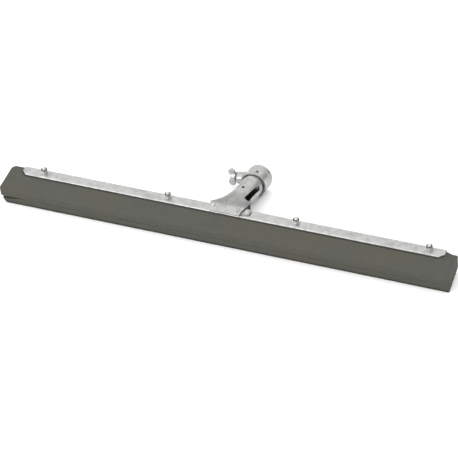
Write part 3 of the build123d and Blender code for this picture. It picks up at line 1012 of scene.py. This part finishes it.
def turned_mesh(name, rings, closed):
    """Skin over rings: joined end to end if closed, and capped at both ends if not."""
    shape = bmesh.new()
    rows = [[shape.verts.new(point) for point in ring] for ring in rings]
    pairs = list(zip(rows, rows[1:])) + ([(rows[-1], rows[0])] if closed else [])
    for low, high in pairs:
        for i in range(SIDES):
            j = (i + 1) % SIDES
            shape.faces.new((low[i], low[j], high[j], high[i]))
    if not closed:
        shape.faces.new(list(reversed(rows[0])))
        shape.faces.new(rows[-1])
    return finished_mesh(name, shape, TURNED_CREASE)


def row_tree():
    """Node tree that repeats one fastener along the jaws."""
    tree = bpy.data.node_groups.new("row_along_jaw", "GeometryNodeTree")
    face = tree.interface
    for name, kind in (
        ("Fastener", "NodeSocketObject"),
        ("Count", "NodeSocketInt"),
        ("First", "NodeSocketVector"),
        ("Step", "NodeSocketVector"),
        ("Finish", "NodeSocketMaterial"),
    ):
        face.new_socket(name, in_out="INPUT", socket_type=kind)
    face.new_socket("Row", in_out="OUTPUT", socket_type="NodeSocketGeometry")
    made = {
        key: tree.nodes.new(kind)
        for key, kind in (
            ("in", "NodeGroupInput"),
            ("line", "GeometryNodeMeshLine"),
            ("info", "GeometryNodeObjectInfo"),
            ("place", "GeometryNodeInstanceOnPoints"),
            ("real", "GeometryNodeRealizeInstances"),
            ("finish", "GeometryNodeSetMaterial"),
            ("out", "NodeGroupOutput"),
        )
    }
    for source, socket, target, entry in (
        ("in", "Fastener", "info", "Object"),
        ("in", "Count", "line", "Count"),
        ("in", "First", "line", "Start Location"),
        ("in", "Step", "line", "Offset"),
        ("line", "Mesh", "place", "Points"),
        ("info", "Geometry", "place", "Instance"),
        ("place", "Instances", "real", "Geometry"),
        ("real", "Geometry", "finish", "Geometry"),
        ("in", "Finish", "finish", "Material"),
        ("finish", "Geometry", "out", "Row"),
    ):
        tree.links.new(made[source].outputs[socket], made[target].inputs[entry])
    return tree


def row_mesh(tree, mesh, material, count, first, step):
    """Plain mesh, in the shared frame, of a fastener repeated along the jaws."""
    sample = bpy.data.objects.new(mesh.name + "_sample", mesh)
    carrier = bpy.data.objects.new(mesh.name + "_row", bpy.data.meshes.new(mesh.name + "_row"))
    for made in (sample, carrier):
        bpy.context.collection.objects.link(made)
    modifier = carrier.modifiers.new("row", "NODES")
    modifier.node_group = tree
    values = {"Fastener": sample, "Count": count, "First": first, "Step": step, "Finish": material}
    for item in tree.interface.items_tree:
        if item.in_out == "INPUT":
            modifier[item.identifier] = values[item.name]
    bpy.context.view_layer.update()
    graph = bpy.context.evaluated_depsgraph_get()
    row = bpy.data.meshes.new_from_object(carrier.evaluated_get(graph))
    bpy.data.objects.remove(carrier)
    bpy.data.objects.remove(sample)
    row.transform(HEAD)
    row.name = mesh.name
    return row


class SQUEEGEE_OT_fasteners(bpy.types.Operator):
    """Makes the clamp bolts and nuts, and finishes the washers and rivets"""

    bl_idname = "squeegee.fasteners"
    bl_label = "Fasteners"

    def execute(self, context):
        settings = context.scene.squeegee_hardware
        bright = {"colour": settings.colour, "roughness": 0.26, "grain": 0.1}
        plated = plated_material("plated_steel", **bright)
        dull = plated_material("dull_rivets", settings.cast_colour, roughness=0.4, grain=0.1)
        # the nuts get painted shade on their tops
        top_shaded = plated_material("oiled_nuts", **bright, top_shade=tuple(settings.top_shade_colour))
        dress(plated, "nut_washers", "head_washers")
        dress(dull, "neck_rivets", "sleeve_rivet")
        count = settings.bolt_count
        wide = settings.hex_width
        edge = CHAMFER_START * wide
        radius = settings.bolt_diameter / 2
        pitch = settings.bolt_pitch
        tree = row_tree()

        low, high = head_box("clamp_nuts")
        bottom, top = low.z, high.z
        nut = turned_mesh(
            "nut",
            [
                circle(radius + BORE_BEVEL, bottom),
                circle(edge, bottom),
                hexagon(wide, bottom, -1),
                hexagon(wide, top, 1),
                circle(edge, top),
                circle(radius + BORE_BEVEL, top),
                circle(radius, top - BORE_BEVEL),
                circle(radius, bottom + BORE_BEVEL),
            ],
            closed=True,
        )
        span = high.x - low.x - wide * 2 / math.sqrt(3)
        first = ((low.x + high.x - span) / 2, (low.y + high.y) / 2, 0)
        step = (span / (count - 1), 0, 0)
        nuts = row_mesh(tree, nut, top_shaded, count, first, step)
        add_piece("clamp_nuts_turned", nuts, "head", "plated_steel", top_shaded, "clamp_nuts")

        low, high = head_box("clamp_bolts")
        seat = head_box("head_washers")[0].z
        start = head_box("nut_washers")[0].z - THREAD_BELOW
        rings = [
            circle(edge, low.z),
            hexagon(wide, low.z, -1),
            hexagon(wide, seat, 1),
            circle(edge, seat),
            circle(radius, seat),
            circle(radius, start - THREAD_LEAD),
        ]
        rings += thread(radius, pitch * BOLT_THREAD_DEPTH, pitch, start, high.z)
        bolt = turned_mesh("bolt", rings, closed=False)
        bolts = row_mesh(tree, bolt, plated, count, first, step)
        add_piece("clamp_bolts_threaded", bolts, "head", "plated_steel", plated, "clamp_bolts")
        return {"FINISHED"}


class SQUEEGEE_OT_clamping_screw(bpy.types.Operator):
    """Makes the clamping screw's threaded stud, and finishes its wings and pressure pad"""

    bl_idname = "squeegee.clamping_screw"
    bl_label = "Clamping Screw"

    def execute(self, context):
        settings = context.scene.squeegee_hardware
        plated = plated_material("plated_screw", settings.colour, roughness=0.3, grain=0.1)
        cast = plated_material("cast_wings", settings.cast_colour, roughness=0.38, grain=0.35)
        dress(plated, "pressure_pad")
        dress(cast, "wing_head")
        joints = frame["record"]["behaviour"]["joints"]
        joint = next(j for j in joints if j["name"] == "screw_turn")
        outwards = -Vector(joint["axis"]).normalized()
        centre = Vector(joint["pos_m"])
        points = [v.co - centre for v in frame["nodes"]["screw_stud"].data.vertices]
        along = [p.dot(outwards) for p in points]
        radii = [(p - outwards * h).length for p, h in zip(points, along)]
        tip, end = min(along), max(along)
        wide = max(radii)
        slim = max(r for r, h in zip(radii, along) if h < tip + TIP_BAND)
        shoulder = min(h for r, h in zip(radii, along) if r > wide - WIDTH_BAND)
        pitch = settings.screw_pitch
        rings = [circle(slim - TIP_BEVEL, tip), circle(slim, tip + TIP_BEVEL)]
        rings.append(circle(slim, shoulder))
        rings += thread(wide, pitch * SCREW_THREAD_DEPTH, pitch, shoulder + SHOULDER_STEP, end)
        mesh = turned_mesh("screw_stud_threaded", rings, closed=False)
        turn = outwards.to_track_quat("Z", "Y").to_matrix().to_4x4()
        mesh.transform(Matrix.Translation(centre) @ turn)
        add_piece(
            "screw_stud_threaded", mesh, "clamping_screw", "plated_steel", plated, "screw_stud"
        )
        return {"FINISHED"}


# Stage

FLOOR_REACH = 12.0
SENSOR_WIDTH = 36
VIEW_END = 100

# Soft tent of light: its strength, and its brightness from the floor's level upwards
TENT_STRENGTH = 1.55
TENT_LEVELS = [(0.0, 0.45), (0.3, 0.85), (0.6, 1.0)]

# Grey screen in the tent: its direction, how sharply it ends, and its brightness
SCREEN_TOWARDS = Vector((0.57, 0.8, 0.17)).normalized()
SCREEN_EDGE = (0.92, 0.975)
SCREEN_LEVEL = 0.25

# Name, place, size and power of each light
LIGHTS = (
    ("front_light", (-1.2, -2.6, 0.9), 1.6, 30.0),
    ("side_light", (-2.2, -0.6, 1.3), 1.0, 12.0),
)


def add_floor(settings):
    """Plain matt floor."""
    mesh = bpy.data.meshes.new("floor")
    reach = FLOOR_REACH
    corners = [(-reach, -reach, 0), (reach, -reach, 0), (reach, reach, 0), (-reach, reach, 0)]
    mesh.from_pydata(corners, [], [(0, 1, 2, 3)])
    material, shader, _, _ = new_material("floor_white")
    shader.inputs["Base Color"].default_value = opaque(settings.floor_colour)
    shader.inputs["Roughness"].default_value = 0.9
    shader.inputs["Specular IOR Level"].default_value = 0.1
    mesh.materials.append(material)
    floor = bpy.data.objects.new("floor", mesh)
    bpy.context.collection.objects.link(floor)


def add_light(scene):
    """Soft tent of light with a grey screen, and two disk lights aimed at the origin."""
    world = bpy.data.worlds.new("studio")
    world.use_nodes = True
    node = node_maker(world.node_tree)
    background = world.node_tree.nodes["Background"]
    heading = node("ShaderNodeTexCoord").outputs["Generated"]
    upward = node("ShaderNodeSeparateXYZ", {"Vector": heading}).outputs["Z"]
    tent = ramp(node, upward, TENT_LEVELS)
    _, towards = vector_math(node, "DOT_PRODUCT", heading, SCREEN_TOWARDS)
    grey = opaque((SCREEN_LEVEL, SCREEN_LEVEL, SCREEN_LEVEL))
    lit = blend(node, fade(node, towards, *SCREEN_EDGE), tent, grey)
    world.node_tree.links.new(lit, background.inputs["Color"])
    background.inputs["Strength"].default_value = TENT_STRENGTH
    scene.world = world
    scene.view_settings.view_transform = "Standard"
    for name, place, size, power in LIGHTS:
        lamp = bpy.data.lights.new(name, "AREA")
        lamp.shape = "DISK"
        lamp.size = size
        lamp.energy = power
        light = bpy.data.objects.new(name, lamp)
        turn = Vector(place).to_track_quat("Z", "Y").to_matrix().to_4x4()
        light.matrix_world = Matrix.Translation(place) @ turn
        bpy.context.collection.objects.link(light)


def add_camera(scene, settings):
    """Camera that looks at the jaw's front edge, turned, raised, rolled and moved aside."""
    turn, rise = settings.azimuth, settings.elevation
    flat = math.cos(rise)
    back = Vector((math.sin(turn) * flat, -math.cos(turn) * flat, math.sin(rise)))
    level = Vector((math.cos(turn), math.sin(turn), 0))
    right = level * math.cos(settings.roll) + back.cross(level) * math.sin(settings.roll)
    up = back.cross(right)
    lens = bpy.data.cameras.new("camera")
    lens.sensor_width = SENSOR_WIDTH
    lens.lens = settings.lens
    lens.clip_end = VIEW_END
    camera = bpy.data.objects.new("camera", lens)
    aside = right * settings.aside[0] + up * settings.aside[1]
    place = HEAD.translation + back * settings.distance + aside
    axes = Matrix((right, up, back)).transposed().to_4x4()
    camera.matrix_world = Matrix.Translation(place) @ axes
    bpy.context.collection.objects.link(camera)
    scene.camera = camera


class SQUEEGEE_OT_stage(bpy.types.Operator):
    """Makes the plain floor, the soft light and the camera"""

    bl_idname = "squeegee.stage"
    bl_label = "Stage"

    def execute(self, context):
        settings = context.scene.squeegee_stage
        add_floor(settings)
        add_light(context.scene)
        add_camera(context.scene, settings)
        return {"FINISHED"}


# Sidebar and registration

STEPS = (
    SQUEEGEE_OT_foam_blades,
    SQUEEGEE_OT_pressings,
    SQUEEGEE_OT_neck_corners,
    SQUEEGEE_OT_fasteners,
    SQUEEGEE_OT_clamping_screw,
    SQUEEGEE_OT_stage,
)


class SQUEEGEE_PT_panel(bpy.types.Panel):
    """Steps that dress the squeegee head"""

    bl_idname = "SQUEEGEE_PT_panel"
    bl_label = "Squeegee Head"
    bl_space_type = "VIEW_3D"
    bl_region_type = "UI"
    bl_category = "Squeegee"

    def draw(self, context):
        for step in STEPS:
            self.layout.operator(step.bl_idname)


SETTINGS = {
    "squeegee_foam": FoamSettings,
    "squeegee_sheet": SheetSettings,
    "squeegee_hardware": HardwareSettings,
    "squeegee_stage": StageSettings,
}


def register():
    for name, group in SETTINGS.items():
        bpy.utils.register_class(group)
        setattr(bpy.types.Scene, name, bpy.props.PointerProperty(type=group))
    for step in STEPS:
        bpy.utils.register_class(step)
    bpy.utils.register_class(SQUEEGEE_PT_panel)


def unregister():
    bpy.utils.unregister_class(SQUEEGEE_PT_panel)
    for step in reversed(STEPS):
        bpy.utils.unregister_class(step)
    for name, group in SETTINGS.items():
        delattr(bpy.types.Scene, name)
        bpy.utils.unregister_class(group)


def main():
    """Runs every step in order."""
    register()
    bpy.ops.squeegee.foam_blades()
    bpy.ops.squeegee.pressings()
    bpy.ops.squeegee.neck_corners()
    bpy.ops.squeegee.fasteners()
    bpy.ops.squeegee.clamping_screw()
    bpy.ops.squeegee.stage()


if __name__ == "__main__":
    main()
